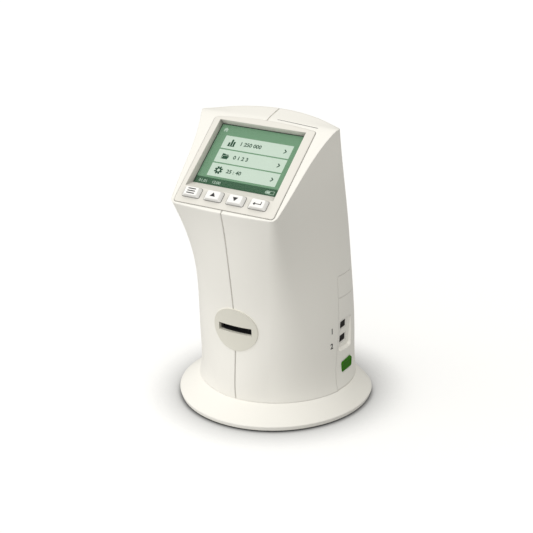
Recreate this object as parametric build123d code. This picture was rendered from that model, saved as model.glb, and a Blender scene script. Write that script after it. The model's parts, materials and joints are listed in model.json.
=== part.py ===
"""Automated cell counter: a leaning tower on a flared round foot, with a slanted screen and four keys
on its head, a slide slot in its front, two data ports and a power button in its right side, and a
focusing microscope inside. Millimetres, +Z up, the front faces -Y, +X is the right side."""
from build123d import *
import os
from math import cos, exp, log, radians, sin, sqrt, tan

os.makedirs("parts", exist_ok=True)

# Case walls and running gaps
wall = 2.5
face_wall = 4.4
fit_gap = 0.3
snug_gap = 0.05
screw_gap = 0.12
bearing_gap = 0.06

# Foot: flared skirt under the tower
rim_half_x = 84.7
rim_front = 92.0
rim_back = 78.0
rim_rear_corner = (76.0, 38.0)
rim_side_bow = 16.0
rim_undercut = 1.2
skirt_bottom = 1.0
rim_top = 4.6
seam_z = 17.0
seam_gap = 0.4
foot_gap = 0.7
ring_width = 20.0
foot_blend = 22.0

# Tower in plan, from the foot to the crown. Each row: height, front centre, front bow, front half
# width, rear corner, rear half width, side bow, back centre, length of the soft corners
tower_rows = (
    (seam_z, -71.5, 20.0, 46.5, 49.0, 49.5, 21.5, 72.0, foot_blend),
    (60.0, -72.3, 16.0, 45.0, 48.0, 50.7, 16.0, 72.0, 18.0),
    (105.0, -76.2, 12.5, 43.2, 39.6, 51.7, 11.8, 69.5, 13.0),
    (150.0, -84.8, 9.5, 44.0, 23.4, 54.8, 4.6, 59.4, 9.0),
    (195.0, -96.7, 1.0, 49.3, 1.0, 61.4, -1.0, 37.0, 5.0),
    (235.0, -118.2, 1.0, 52.0, -12.7, 64.3, -4.6, 10.0, 4.0),
    (262.0, -131.6, 1.0, 51.6, -23.4, 67.6, -1.5, -5.5, 4.0),
)

# Slanted face of the head: x across, s up the slope, n out of the surface
face_tilt = 39.84
face_y = -91.66
face_z = 192.17
roof_fold_y = -22.0
roof_fold_soft = 2.0
roof_slope = 0.24
roof_arch = 3.1
roof_arch_half = 63.0
roof_arch_y = (-24.0, -10.0)

# Bezel in the slanted face
bezel_half_low = 46.5
bezel_half_high = 47.4
bezel_bottom = -0.6
bezel_side_top = 85.4
bezel_arch_top = 89.0
bezel_corner = 2.5
bezel_gap = 0.25
bezel_proud = 0.6
bezel_bevel = 0.4
bezel_plate = 2.2
bezel_depth = 5.6
port_half = 44.1
port_low = 2.2
port_high = 84.6

# Screen, a little left of the middle
screen_x = -0.9
screen_half = 39.9
screen_low = 22.2
screen_high = 82.4
mouth_left = (-42.6, -41.5)
mouth_right = 39.3
mouth_low = 15.4
mouth_high = 83.1
screen_sink = 4.0
glass_edge = 1.6
glass_thick = 1.4
panel_thick = 3.6
frame_thick = 2.0
frame_post_x = 47.4
frame_post_s = (42.0, 74.0)

# Keys below the screen
key_names = ("menu", "up", "down", "enter")
key_mid_x = -2.0
key_pitch = 20.6
key_mid_s = 9.6
key_top = (12.0, 7.4)
key_base = (15.9, 9.0)
key_lift = 0.3
key_raise = 2.6
key_flange = 0.8
key_travel = 0.8
key_corner = 1.2
switch_size = 6.0
switch_height = 3.5
board_thick = 1.6
key_board_half = 43.0
key_post_radius = 1.7
key_post_s = 17.3
key_post_x = (-37.0, 0.0, 35.0)

# Round slot disc in the front
slot_z = 82.0
slot_opening = (31.6, 6.6)
disc_z = 82.1
disc_half = (21.1, 19.3)
disc_flange = 2.0
disc_tilt = 7.7
disc_proud = 1.0

# Slide path and stage
channel_width = 27.0
channel_height = 5.0
guide_half = 17.5
funnel_mouth = (29.4, 6.4)
funnel_length = 5.0
stage_front = -49.0
stage_thick = 3.0
slide_stop_y = -14.0
axis_y = -37.0
stage_hole = 7.0

# Optics frame and focus drive
frame_half = 34.0
frame_plate = 4.0
frame_top = 124.0
screw_y = -11.5
rod_x = 20.0
rod_radius = 2.0
bush_radius = 4.0
lead_radius = 2.5
nut_radius = 5.0
motor_size = 20.0
motor_height = 22.0
motor_top = 30.0
motor_screw_spots = ((-7.2, -7.2), (-7.2, 7.2), (7.2, -7.2), (7.2, 7.2))
coupling_radius = 5.0
shaft_top = motor_top + 8.0
screw_low = shaft_top + 0.5
bracket_thick = 3.0
stage_bolt_x = 25.0
carriage_low = 50.0
carriage_height = 11.0
lens_radius = 9.0
objective_top = 72.0
tube_low = 34.0
camera_size = 24.0
lamp_z = 112.0

# Main board behind the frame
board_half = 38.0
board_low = 20.0
board_high = 120.0
standoff = 6.0
standoff_x = 29.0
standoff_z = (27.0, 113.0)

# Right side: connector panels, ports and power button
strip_lean = 7.0
strip_front = -13.0
strip_pivot_z = 24.0
strip_width = 50.4
strip_low = -15.0
strip_split = 74.5
strip_top = 93.2
strip_gap = 0.15
boss_top = 23.0
scoop_front = -5.5
scoop_back = 23.5
scoop_low = 48.5
scoop_high = 77.0
scoop_floor = 59.8
port_y = 6.6
port_z = (70.2, 57.5)
port_hole = (13.7, 7.4)
port_inset = 1.0
usb_width = 13.1
usb_height = 6.4
usb_skin = 0.4
port_board_x = 44.4
panel_posts = ((32.0, 84.0), (30.0, 33.0), (2.0, 84.0))
button_y = 6.2
button_z = 34.4
button_size = (18.2, 9.6)
button_face = 65.8
button_flange_x = 60.5
button_travel = 2.0
plunger_radius = 2.0

# Rear inlet panel
inlet_z = 35.0
inlet_window = (30.0, 18.0)
inlet_plate = (35.0, 23.0)
inlet_face = 66.9
inlet_thick = 2.2
inlet_bore = 2.8
inlet_depth = 9.0
inlet_pin = 1.0

# Fasteners, feet and bosses
m3_radius = 1.5
m3_head = 2.8
m3_head_height = 1.9
base_screw_length = 5.2
small_screw_length = 5.0
boss_radius = 4.0
plate_low = 1.6
plate_thick = 3.0
plate_edge = 2.0
foot_radius = 8.0
foot_spots = ((44.0, 48.0), (40.0, -62.0))
plate_screw_spots = ((64.0, 24.0), (54.0, -58.0))
case_screw_spots = ((56.0, -22.0), (41.0, 46.0))

plate_top = plate_low + plate_thick
stage_top = slot_z - channel_height / 2
stage_low = stage_top - stage_thick
face_normal = Vector(0, -sin(radians(face_tilt)), cos(radians(face_tilt)))
face_plane = Plane(origin=(0, face_y, face_z), x_dir=(1, 0, 0), z_dir=face_normal)


# Shared shapes

def block(x, y, z):
    """Box between a pair of limits along each axis."""
    centre = Pos((x[0] + x[1]) / 2, (y[0] + y[1]) / 2, (z[0] + z[1]) / 2)
    return centre * Box(x[1] - x[0], y[1] - y[0], z[1] - z[0])


def upright(radius, low, high, x=0.0, y=0.0):
    """Round bar standing along Z."""
    return Pos(x, y, (low + high) / 2) * Cylinder(radius, high - low)


def along_y(radius, start, end, x=0.0, z=0.0):
    """Round bar lying along Y."""
    return Pos(x, (start + end) / 2, z) * Rot(90, 0, 0) * Cylinder(radius, end - start)


def along_x(radius, start, end, y=0.0, z=0.0):
    """Round bar lying along X."""
    return Pos((start + end) / 2, y, z) * Rot(0, 90, 0) * Cylinder(radius, end - start)


def face_block(x, s, n):
    """Box between limits in the slanted face's own directions."""
    return face_plane.location * block(x, s, n)


def face_rod(radius, x, s, low, high):
    """Round bar along the slanted face's normal."""
    return face_plane.location * upright(radius, low, high, x, s)


def both_sides(piece):
    """The piece and its mirror image across the middle."""
    return piece + mirror(piece, Plane.YZ)


def soft_corner(first, second, length):
    """End of one arc, the corner between, and start of the next, with the corner cut back by length."""
    u, v = 1 - length / first.length, length / second.length
    p, tp, q, tq = first @ u, first % u, second @ v, second % v
    cross = tq.X * tp.Y - tp.X * tq.Y
    run = (tq.X * (q.Y - p.Y) - tq.Y * (q.X - p.X)) / cross
    return p, p + tp * run, q


def plan_section(row, inset=0.0):
    """Closed outline in plan, moved inwards by inset, with bowed sides and soft corners."""
    z, front_y, front_bow, front_half, rear_y, rear_half, side_bow, back_y, blend = row
    back_bow = back_y - rear_y
    front_radius = (front_half**2 + front_bow**2) / (2 * front_bow) - inset
    back_radius = (rear_half**2 + back_bow**2) / (2 * back_bow) - inset
    front_x, rear_x = front_half - inset, rear_half - inset
    front_corner = (front_x, front_y + inset + front_radius - sqrt(front_radius**2 - front_x**2))
    rear_corner = (rear_x, back_y - inset - back_radius + sqrt(back_radius**2 - rear_x**2))
    chord = Vector(rear_half - front_half, rear_y - front_y - front_bow)
    outwards = Vector(chord.Y, -chord.X).normalized()
    side_mid = Vector((front_half + rear_half) / 2, (front_y + front_bow + rear_y) / 2)
    side_mid = side_mid + outwards * (side_bow - inset)
    front_mid, back_mid = (0, front_y + inset), (0, back_y - inset)
    flipped = lambda point: Vector(-point.X, point.Y)
    front = ThreePointArc((-front_x, front_corner[1]), front_mid, front_corner)
    side = ThreePointArc(front_corner, side_mid, rear_corner)
    back = ThreePointArc(rear_corner, back_mid, (-rear_x, rear_corner[1]))
    a, a_mid, b = soft_corner(front, side, blend)
    c, c_mid, d = soft_corner(side, back, blend)
    edges = [
        ThreePointArc(flipped(a), front_mid, a), Bezier(a, a_mid, b),
        ThreePointArc(b, side @ 0.5, c), Bezier(c, c_mid, d),
        ThreePointArc(d, back_mid, flipped(d)), Bezier(flipped(d), flipped(c_mid), flipped(c)),
        ThreePointArc(flipped(c), flipped(side @ 0.5), flipped(b)),
        Bezier(flipped(b), flipped(a_mid), flipped(a)),
    ]
    return Pos(0, 0, z) * make_face(edges)


def rim_row(z):
    """Outline of the foot's rim, in the tower's terms: an ellipse in front, cut shorter at the back."""
    corner_x, corner_y = rim_half_x / sqrt(2), rim_front / sqrt(2)
    rear_x, rear_y = rim_rear_corner
    return (z, -rim_front, rim_front - corner_y, corner_x, rear_y, rear_x, rim_side_bow, rim_back,
            foot_blend)


def roof_height(x, y):
    """Height of the head's top skin: the slanted face, a soft fold and a shallow arched roof."""
    slope = tan(radians(face_tilt))
    fold = (slope - roof_slope) * roof_fold_soft * log(1 + exp((y - roof_fold_y) / roof_fold_soft))
    start, end = roof_arch_y
    share = min(max(0.0, (y - start) / (end - start)), 1.0)
    arch = roof_arch * share**2 * (3 - 2 * share)
    return face_z + (y - face_y) * slope - fold - arch * (x / roof_arch_half)**2


def above_roof(drop):
    """Everything over the head's top skin, lowered by drop."""
    reach, step_x, step_y = 90, 15, 4
    lower = drop / cos(radians(face_tilt))
    grid = [[Vector(x, y, roof_height(x, y) - lower) for y in range(-150, 74, step_y)]
            for x in range(-reach, reach + 1, step_x)]
    return Solid.extrude(Face.make_surface_from_array_of_points(grid, tol=0.01), Vector(0, 0, 160))


def tower(inset, drop):
    """The tower's body, drawn in by inset at its sides and by drop under its top skin."""
    return loft([plan_section(row, inset) for row in tower_rows]) - above_roof(drop)


def bezel_outline(grow=0.0):
    """Outline of the bezel on the slanted face: straight sides and an arched top."""
    low, high = bezel_half_low + grow, bezel_half_high + grow
    top = bezel_side_top + grow
    bottom = bezel_bottom - grow
    edges = [Line((-low, bottom), (low, bottom)), Line((low, bottom), (high, top)),
             ThreePointArc((high, top), (0, bezel_arch_top + grow), (-high, top)),
             Line((-high, top), (-low, bottom))]
    face = make_face(edges)
    return fillet(face.vertices(), bezel_corner + grow)


def face_prism(sketch, low, high):
    """Sketch on the slanted face, extruded between two depths."""
    return extrude(face_plane.offset(low) * sketch, amount=high - low)


def rounded_on_face(x, s, width, height, corner):
    """Rounded rectangle centred at a spot of the slanted face."""
    return Pos(x, s) * RectangleRounded(width, height, corner)


def m3_screw(length):
    """Pan head screw with a cross of two slots, head up, its seat at the origin."""
    head = upright(m3_head, 0, m3_head_height)
    head = chamfer(head.edges().sort_by(Axis.Z)[-1], 0.6)
    slots = Box(3.4, 0.7, 1.6) + Box(0.7, 3.4, 1.6)
    return head - Pos(0, 0, m3_head_height) * slots + upright(m3_radius, -length, 0)


key_x = [key_mid_x + key_pitch * (i - 1.5) for i in range(4)]
switch_top = -(bezel_depth + key_flange + fit_gap + 1.0 + key_travel + 0.1)
key_board_top = switch_top - switch_height

outer = tower(0, 0)
cavity = tower(wall, face_wall)
mid_wall = tower(wall / 2, face_wall / 2)


# Foot

def make_skirt():
    """Flared skirt: a low rim, a cone up to the tower's foot and a ring inside that carries it."""
    foot = tower_rows[0]
    cone = loft([plan_section(rim_row(rim_top)), plan_section(foot)], ruled=True)
    shape = cone + loft([plan_section(rim_row(skirt_bottom), rim_undercut), plan_section(rim_row(rim_top))],
                        ruled=True)
    inner_rim = rim_row(rim_top - wall / 3)
    under_ring = (seam_z - wall,) + foot[1:]
    hollow = loft([plan_section(inner_rim, wall), plan_section(under_ring, wall)], ruled=True)
    hollow += extrude(plan_section(rim_row(skirt_bottom), wall), amount=inner_rim[0] - skirt_bottom)
    hollow += extrude(plan_section(under_ring, ring_width), amount=2 * wall)
    solid_shape = shape
    shape -= hollow
    for x, y in plate_screw_spots:
        post = upright(boss_radius, plate_top, seam_z, x, y) & solid_shape
        shape += both_sides(post)
        shape -= both_sides(upright(m3_radius + screw_gap, plate_low, plate_top + 4.2, x, y))
    for x, y in case_screw_spots:
        shape -= both_sides(upright(m3_radius + screw_gap, seam_z - 2 * wall, seam_z + 1, x, y))
    return shape


def make_base_plate():
    """Flat plate that closes the foot from below."""
    plate = extrude(plan_section(rim_row(plate_low), wall + fit_gap), amount=plate_edge)
    plate += extrude(plan_section(rim_row(plate_low), 2 * wall + 0.5), amount=plate_thick)
    for x, y in plate_screw_spots:
        plate -= both_sides(upright(m3_radius + screw_gap, plate_low - 1, plate_top + 1, x, y))
        plate -= both_sides(upright(m3_head + fit_gap, plate_low - 1, plate_low + m3_head_height, x, y))
    return plate


def make_feet():
    """Four rubber pads under the base plate."""
    feet = [both_sides(upright(foot_radius, 0, plate_low, x, y)) for x, y in foot_spots]
    return Compound([pad for pair in feet for pad in pair.solids()])


def make_base_screws():
    """Eight screws driven upwards: four through the base plate, four through the skirt's ring."""
    spots = [(x, y, plate_low + m3_head_height) for x, y in plate_screw_spots]
    spots += [(x, y, seam_z - wall) for x, y in case_screw_spots]
    screws = [both_sides(Pos(*spot) * Rot(180, 0, 0) * m3_screw(base_screw_length)) for spot in spots]
    return Compound([screw for pair in screws for screw in pair.solids()])


# Case

def disc_axis():
    """Plane at the slot disc's centre, looking out of the front."""
    tilt = radians(disc_tilt)
    return Plane(origin=(0, tower_rows[1][1], disc_z), x_dir=(1, 0, 0), z_dir=(0, -cos(tilt), -sin(tilt)))


def disc_bar(inset):
    """Oval bar along the slot disc's axis, smaller than the disc by inset."""
    oval = Ellipse(disc_half[0] - inset, disc_half[1] - inset)
    return extrude(disc_axis().offset(-20) * oval, amount=40)


def side_window(grow=0.0, low=strip_low, high=strip_top):
    """Leaning prism through the right wall for the connector panels; low and high run along it."""
    prism = block((30, 90), (-grow, strip_width + grow), (low - grow, high + grow))
    return Pos(0, strip_front, strip_pivot_z) * Rot(-strip_lean, 0, 0) * prism


def make_case():
    """Both halves of the case before they are parted: a thin shell with its openings and bosses."""
    case = outer - cavity
    case -= face_prism(bezel_outline(bezel_gap), -bezel_plate, 12)
    mid_s, height = (port_low + port_high) / 2, port_high - port_low
    case -= face_prism(Pos(0, mid_s) * Rectangle(2 * port_half, height), -12, 0)
    case -= disc_bar(disc_flange - fit_gap)
    case -= side_window(strip_gap)
    case -= block((-inlet_window[0] / 2, inlet_window[0] / 2), (50, 90),
                  (inlet_z - inlet_window[1] / 2, inlet_z + inlet_window[1] / 2))
    groove = block((-seam_gap, seam_gap), (-150, 100), (seam_z, 300))
    case -= groove - tower(2 * seam_gap, 2 * seam_gap)
    for x, y in case_screw_spots:
        boss = upright(boss_radius, seam_z, boss_top, x, y)
        web = block((x, x + 4 * boss_radius), (y - wall, y + wall), (seam_z, boss_top))
        boss = (boss + web) & mid_wall
        case += both_sides(boss - upright(m3_radius + screw_gap, 0, seam_z + 4.4, x, y))
    for s in frame_post_s:
        post = face_rod(boss_radius / 2, frame_post_x, s, -(frame_post_depth() - snug_gap), -face_wall + 0.5)
        hole = face_rod(1.0 + screw_gap, frame_post_x, s, -12, -face_wall - 1)
        case += both_sides(post & outer)
        case -= both_sides(hole)
    lift = extrude(plan_section(tower_rows[0]), amount=foot_gap)
    for x, y in case_screw_spots:
        lift -= both_sides(upright(boss_radius, 0, 40, x, y))
    return case - lift


def frame_post_depth():
    """Depth of the screen frame's front below the slanted face."""
    return screen_sink + glass_thick + panel_thick + 3 * snug_gap


# Bezel, screen and keys

def screen_rect(grow, low_grow=None):
    """Rectangle of the screen's visible area, grown on every side."""
    low = screen_low - (grow if low_grow is None else low_grow)
    high = screen_high + grow
    return Pos(screen_x, (low + high) / 2) * Rectangle(2 * (screen_half + grow), high - low)


def mouth_outline():
    """Outline where the sloping sides round the screen meet the bezel's face."""
    corners = ((mouth_left[0], mouth_low), (mouth_right, mouth_low), (mouth_right, mouth_high),
               (mouth_left[1], mouth_high))
    return make_face(Polyline(*corners, close=True))


def make_bezel():
    """Bezel: raised arched plate in its seat, a box behind it, sloping screen sides and key holes."""
    bezel = face_prism(bezel_outline(), -bezel_plate + snug_gap, bezel_proud)
    on_top = lambda e: abs(face_plane.to_local_coords(e.center()).Z - bezel_proud) < 0.01
    bezel = chamfer(bezel.edges().filter_by(on_top), bezel_bevel)
    width, height = 2 * (port_half - fit_gap), port_high - port_low - 2 * fit_gap
    box = Pos(0, (port_low + port_high) / 2) * Rectangle(width, height)
    bezel += face_prism(box, -bezel_depth, -bezel_plate / 2)
    mouth = face_plane.offset(bezel_proud) * mouth_outline()
    floor = face_plane.offset(-screen_sink) * screen_rect(0)
    bezel -= loft([mouth, floor], ruled=True)
    bezel -= face_prism(screen_rect(glass_edge + snug_gap), -bezel_depth - 1, -screen_sink)
    for x in key_x:
        hole = rounded_on_face(x, key_mid_s, key_base[0] + 2 * fit_gap, key_base[1] + 2 * fit_gap,
                               key_corner + fit_gap)
        bezel -= face_prism(hole, -bezel_depth - 1, bezel_proud + 1)
    for x in key_post_x:
        bezel += face_rod(key_post_radius, x, key_post_s, key_board_top, -bezel_depth + 0.1)
        bezel -= face_rod(0.8 + screw_gap, x, key_post_s, key_board_top - 1, -bezel_depth - 0.5)
    return bezel


def make_key(x):
    """Key cap with sloping sides, a stem through the bezel, a flange behind it and a foot."""
    base = rounded_on_face(x, key_mid_s, *key_base, key_corner)
    top = rounded_on_face(x, key_mid_s, *key_top, key_corner)
    low = bezel_proud + key_lift
    cap = loft([face_plane.offset(low) * base, face_plane.offset(low + key_raise) * top], ruled=True)
    stem = face_prism(base, -bezel_depth - fit_gap, low)
    flange = rounded_on_face(x, key_mid_s, key_base[0] + 2 * key_flange, key_base[1] + 2 * key_flange,
                             key_corner)
    back = -bezel_depth - fit_gap - key_flange
    flange = face_prism(flange, back, -bezel_depth - fit_gap)
    return cap + stem + flange + face_rod(2.5, x, key_mid_s, back - 1.0, back)


def make_key_board():
    """Printed board under the keys."""
    s_low, s_high = 1.2, key_post_s + key_post_radius + 0.3
    board = face_block((-key_board_half, key_board_half), (s_low, s_high),
                       (key_board_top - board_thick, key_board_top))
    for x in key_post_x:
        board -= face_rod(0.8 + screw_gap, x, key_post_s, key_board_top - 3, key_board_top + 1)
    return board


def make_key_switches():
    """A square switch with a round plunger under each key."""
    switches = []
    for x in key_x:
        half = switch_size / 2
        body = face_block((x - half, x + half), (key_mid_s - half, key_mid_s + half),
                          (key_board_top, switch_top - 0.8))
        switches.append((body + face_rod(1.7, x, key_mid_s, switch_top - 0.8, switch_top)).solid())
    return Compound(switches)


def make_window():
    """Clear window behind the bezel."""
    return face_prism(screen_rect(glass_edge), -screen_sink - snug_gap - glass_thick, -screen_sink - snug_gap)


def make_panel():
    """Display panel behind the window."""
    front = -screen_sink - glass_thick - 2 * snug_gap
    return face_prism(screen_rect(glass_edge - snug_gap, 1.2), front - panel_thick, front)


def make_frame():
    """Tray that presses the display panel to the window and ties the case halves together."""
    front = -frame_post_depth()
    plate = face_block((screen_x - screen_half - 1, screen_x + screen_half + 1), (21.6, 82.0),
                       (front - frame_thick, front))
    for s in frame_post_s:
        plate += face_block((-frame_post_x - 2.0, frame_post_x + 2.0), (s - 4, s + 4),
                            (front - frame_thick, front))
        plate -= both_sides(face_rod(1.0 + screw_gap, frame_post_x, s, front - 5, front + 5))
    window = face_block((-24, 22), (50, 66), (front - 5, front + 5))
    return plate - window


def make_frame_screws():
    """Four screws through the tray into the case."""
    seat = -frame_post_depth() - frame_thick
    screws = [face_rod(2.0, frame_post_x, s, seat - 1.4, seat)
              + face_rod(1.0, frame_post_x, s, seat, seat + frame_thick + 3.2) for s in frame_post_s]
    return Compound([one for s in screws for one in both_sides(s).solids()])


def make_ribbon():
    """Flat cable from the display panel's back over the optics to the main board's top socket."""
    start = face_plane.location * Pos(0, 58, -frame_post_depth() + snug_gap)
    y, z = start.position.Y, start.position.Z
    back = frame_plate + standoff + board_thick
    socket_z = 114.5
    path = FilletPolyline((y, z), (y + 5.1, z - 6.1), (back + 2, 150), (back + 9, 128), (back + 9, socket_z),
                          (back + 2.1, socket_z), radius=2.5)
    band = offset(path, 0.15)
    face = Plane(origin=(-10, 0, 0), x_dir=(0, 1, 0), z_dir=(1, 0, 0)) * make_face(band)
    return extrude(face, amount=20)


# Slot disc and slide path

def make_disc():
    """Oval plate round the slot: a proud flange over a neck in the case, cut through by the slot."""
    proud = tower(-disc_proud, 0)
    disc = (disc_bar(0) & (proud - outer)) + (disc_bar(disc_flange) & (proud - cavity))
    disc = disc & block((-60, 60), (-120, 0), (0, 200))
    half_width, half_height = slot_opening[0] / 2, slot_opening[1] / 2
    disc -= block((-half_width, half_width), (-100, 0), (slot_z - half_height, slot_z + half_height))
    return disc.solids().sort_by(SortBy.VOLUME)[-1]


def make_slide_guide():
    """Short funnel right behind the slot that leads the slide to the stage."""
    front, half_height = tower_rows[1][1], channel_height / 2
    body = block((-guide_half, guide_half), (front, stage_front - snug_gap),
                 (slot_z - half_height - stage_thick, slot_z + half_height + stage_thick))
    body = body & tower(wall + fit_gap, face_wall)
    channel = block((-channel_width / 2, channel_width / 2), (front - 5, 0),
                    (slot_z - half_height, slot_z + half_height))
    mouth = Plane(origin=(0, front, slot_z), x_dir=(1, 0, 0), z_dir=(0, -1, 0))
    funnel = loft([mouth * Rectangle(*funnel_mouth),
                   mouth.offset(-funnel_length) * Rectangle(channel_width, channel_height)], ruled=True)
    return body - channel - funnel


def make_stage():
    """Stage that the slide lies on, with a flange bolted to the optics frame."""
    stage = block((-frame_half + 4, frame_half - 4), (stage_front, 0), (stage_low, stage_top))
    stage += block((-frame_half + 4, frame_half - 4), (-3, 0), (stage_low - 11, stage_top))
    stage -= upright(stage_hole, stage_low - 1, stage_top + 1, 0, axis_y)
    stage -= upright(lead_radius + bearing_gap, stage_low - 1, stage_top + 1, 0, screw_y)
    for x in (-rod_x, rod_x):
        stage -= upright(rod_radius + snug_gap, stage_low - 1, stage_top + 1, x, screw_y)
    for x in (-stage_bolt_x, stage_bolt_x):
        stage -= along_y(m3_radius + screw_gap, -4, 1, x, stage_low - 6)
    return stage


def make_slide_rails():
    """Two rails beside the slide and a stop at its far end."""
    rail_top = stage_top + channel_height
    rails = block((channel_width / 2, guide_half), (stage_front, slide_stop_y), (stage_top, rail_top))
    lip = block((channel_width / 2 - 1.5, guide_half), (stage_front, slide_stop_y),
                (rail_top, rail_top + 1.5))
    pair = both_sides(rails + lip)
    return Compound(list(pair.solids()))


def make_slide_stop():
    """Stop with the switch that feels the slide arrive."""
    return block((-channel_width / 2, channel_width / 2), (slide_stop_y + snug_gap, slide_stop_y + 4.0),
                 (stage_top, stage_top + channel_height))


# Optics frame, lamp and focus drive

def make_optics_frame():
    """Upright plate on a foot, with a lamp arm near its top and two ribs."""
    frame = block((-frame_half, frame_half), (0, frame_plate), (plate_top, frame_top))
    frame += block((-frame_half, frame_half), (0, 24), (plate_top, plate_top + 3))
    arm = block((-14, 14), (axis_y - 12, 0), (lamp_z, lamp_z + 4))
    arm -= upright(8.5, lamp_z - 1, lamp_z + 5, 0, axis_y)
    frame += arm
    for x in (-20, 20):
        frame += block((x - 1.5, x + 1.5), (frame_plate, 9), (plate_top + 3, board_low - 2))
    for x in (-stage_bolt_x, stage_bolt_x):
        frame -= along_y(m3_radius + screw_gap, -1, frame_plate + 1, x, stage_low - 6)
        frame -= along_y(m3_radius + screw_gap, -1, frame_plate + 1, x, motor_top + 9)
    for x in (-standoff_x, standoff_x):
        for z in standoff_z:
            frame -= along_y(m3_radius + screw_gap, -1, frame_plate + 1, x, z)
    frame -= block((-12, 12), (-1, frame_plate + 1), (84, 104))
    for x in (-26, 26):
        frame -= upright(m3_radius + screw_gap, 0, 12, x, 18)
    return frame


def make_frame_foot_screws():
    """Two screws that hold the optics frame's foot to the base plate."""
    screws = [(Pos(x, 18, plate_top + 3) * m3_screw(3 - snug_gap)).solid() for x in (-26, 26)]
    return Compound(screws)


def make_bracket():
    """Angle that carries the motor and the lower ends of the guide rods."""
    bracket = block((-frame_half + 4, frame_half - 4), (screw_y - motor_size / 2, 0),
                    (motor_top, motor_top + bracket_thick))
    bracket += block((-frame_half + 4, frame_half - 4), (-2.5, 0), (motor_top, motor_top + 15))
    bracket -= upright(coupling_radius + 1, motor_top - 1, motor_top + 20, 0, screw_y)
    for x in (-rod_x, rod_x):
        bracket -= upright(rod_radius + snug_gap, motor_top - 1, motor_top + 5, x, screw_y)
    for x in (-stage_bolt_x, stage_bolt_x):
        bracket -= along_y(m3_radius + screw_gap, -4, 1, x, motor_top + 9)
    for x, y in motor_screw_spots:
        bracket -= upright(0.8 + screw_gap, motor_top - 1, motor_top + 5, x, screw_y + y)
    return bracket


def make_bracket_screws():
    """Bolts through the optics frame into the stage and the motor bracket."""
    bolts = []
    for z in (stage_low - 6, motor_top + 9):
        for x in (-stage_bolt_x, stage_bolt_x):
            bolt = Pos(x, frame_plate, z) * Rot(-90, 0, 0) * m3_screw(frame_plate + 2.8)
            bolts.append(bolt.solid())
    return Compound(bolts)


def make_motor():
    """Small square stepper motor with a stack between two end caps and a bore for its shaft."""
    half = motor_size / 2
    low = motor_top - motor_height
    motor = block((-half, half), (screw_y - half, screw_y + half), (low, motor_top))
    motor = chamfer(motor.edges().filter_by(Axis.Z), 2.0)
    waist = block((-half, half), (screw_y - half, screw_y + half), (low + 6, motor_top - 6))
    waist -= block((-half + 0.6, half - 0.6), (screw_y - half + 0.6, screw_y + half - 0.6),
                   (low + 6, motor_top - 6))
    motor -= waist
    motor -= upright(lead_radius + bearing_gap, motor_top - 8, motor_top + 1, 0, screw_y)
    motor += block((-5, 5), (screw_y + half - 0.6, -snug_gap), (low, low + 5))
    for x, y in motor_screw_spots:
        motor -= upright(0.8 + screw_gap, motor_top - small_screw_length, motor_top + 1, x, screw_y + y)
    return motor


def make_coupling():
    """Split coupling that joins the motor's shaft to the lead screw."""
    body = upright(coupling_radius, motor_top + 1.0, motor_top + 14.8, 0, screw_y)
    body -= upright(lead_radius, motor_top, motor_top + 20, 0, screw_y)
    return body - block((-0.4, 0.4), (screw_y, screw_y + 9), (motor_top, motor_top + 20))


def make_carriage():
    """Carriage on two bushes, with a nut in its middle and an arm that holds the lens barrel."""
    low, high = carriage_low, carriage_low + carriage_height
    carriage = block((-rod_x - 6, rod_x + 6), (screw_y - 6, screw_y + 6), (low, high))
    carriage = chamfer(carriage.edges().filter_by(Axis.Z), 1.5)
    arm = block((-9, 9), (axis_y, screw_y - 5), (low, high))
    carriage += arm + upright(lens_radius + 3, low, high, 0, axis_y)
    carriage -= upright(lens_radius, low - 1, high + 1, 0, axis_y)
    carriage -= upright(nut_radius, low - 1, high + 1, 0, screw_y)
    for x in (-rod_x, rod_x):
        carriage -= upright(bush_radius, low - 1, high + 1, x, screw_y)
    return carriage


def make_rod_bushes():
    """Plain bearings of the carriage."""
    bushes = []
    for x in (-rod_x, rod_x):
        bush = upright(bush_radius, carriage_low, carriage_low + carriage_height, x, screw_y)
        bush -= upright(rod_radius + bearing_gap, 0, 100, x, screw_y)
        bushes.append(bush.solid())
    return Compound(bushes)


def make_lead_nut():
    """Flanged nut that runs on the lead screw."""
    nut = upright(nut_radius, carriage_low, carriage_low + carriage_height, 0, screw_y)
    nut += upright(nut_radius + 0.9, carriage_low - 2, carriage_low, 0, screw_y)
    return nut - upright(lead_radius + bearing_gap, 0, 100, 0, screw_y)


def make_guide_rods():
    """Two guide rods between the motor bracket and the stage."""
    rods = [upright(rod_radius, motor_top, stage_top, x, screw_y).solid() for x in (-rod_x, rod_x)]
    return Compound(rods)


def make_objective():
    """Lens barrel: a shouldered body with a tapered nose and a knurled ring's groove."""
    profile = make_face(Polyline((0, carriage_low - 1), (lens_radius, carriage_low - 1),
                                 (lens_radius, objective_top - 8), (6.0, objective_top - 2),
                                 (6.0, objective_top), (0, objective_top), close=True))
    barrel = revolve(Plane.XZ * profile, Axis.Z, 360)
    barrel -= upright(4.0, carriage_low - 2, objective_top - 2.6)
    barrel -= upright(2.6, carriage_low - 2, objective_top + 1)
    barrel -= upright(lens_radius + 1, objective_top - 11, objective_top - 9.4) - upright(
        lens_radius - 0.7, objective_top - 12, objective_top)
    return Pos(0, axis_y, 0) * barrel


def make_objective_lens():
    """Front lens, seated in the barrel's nose."""
    return upright(4.0 - snug_gap, objective_top - 5.6, objective_top - 2.6 - snug_gap, 0, axis_y)


def make_camera_tube():
    """Tube between the lens barrel and the camera board."""
    tube = upright(lens_radius, tube_low, carriage_low - 1 - snug_gap, 0, axis_y)
    return tube - upright(lens_radius - 1.5, tube_low - 1, carriage_low, 0, axis_y)


def make_camera_board():
    """Camera board under the tube."""
    half = camera_size / 2
    return block((-half, half), (axis_y - half, axis_y + half), (tube_low - board_thick, tube_low))


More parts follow.
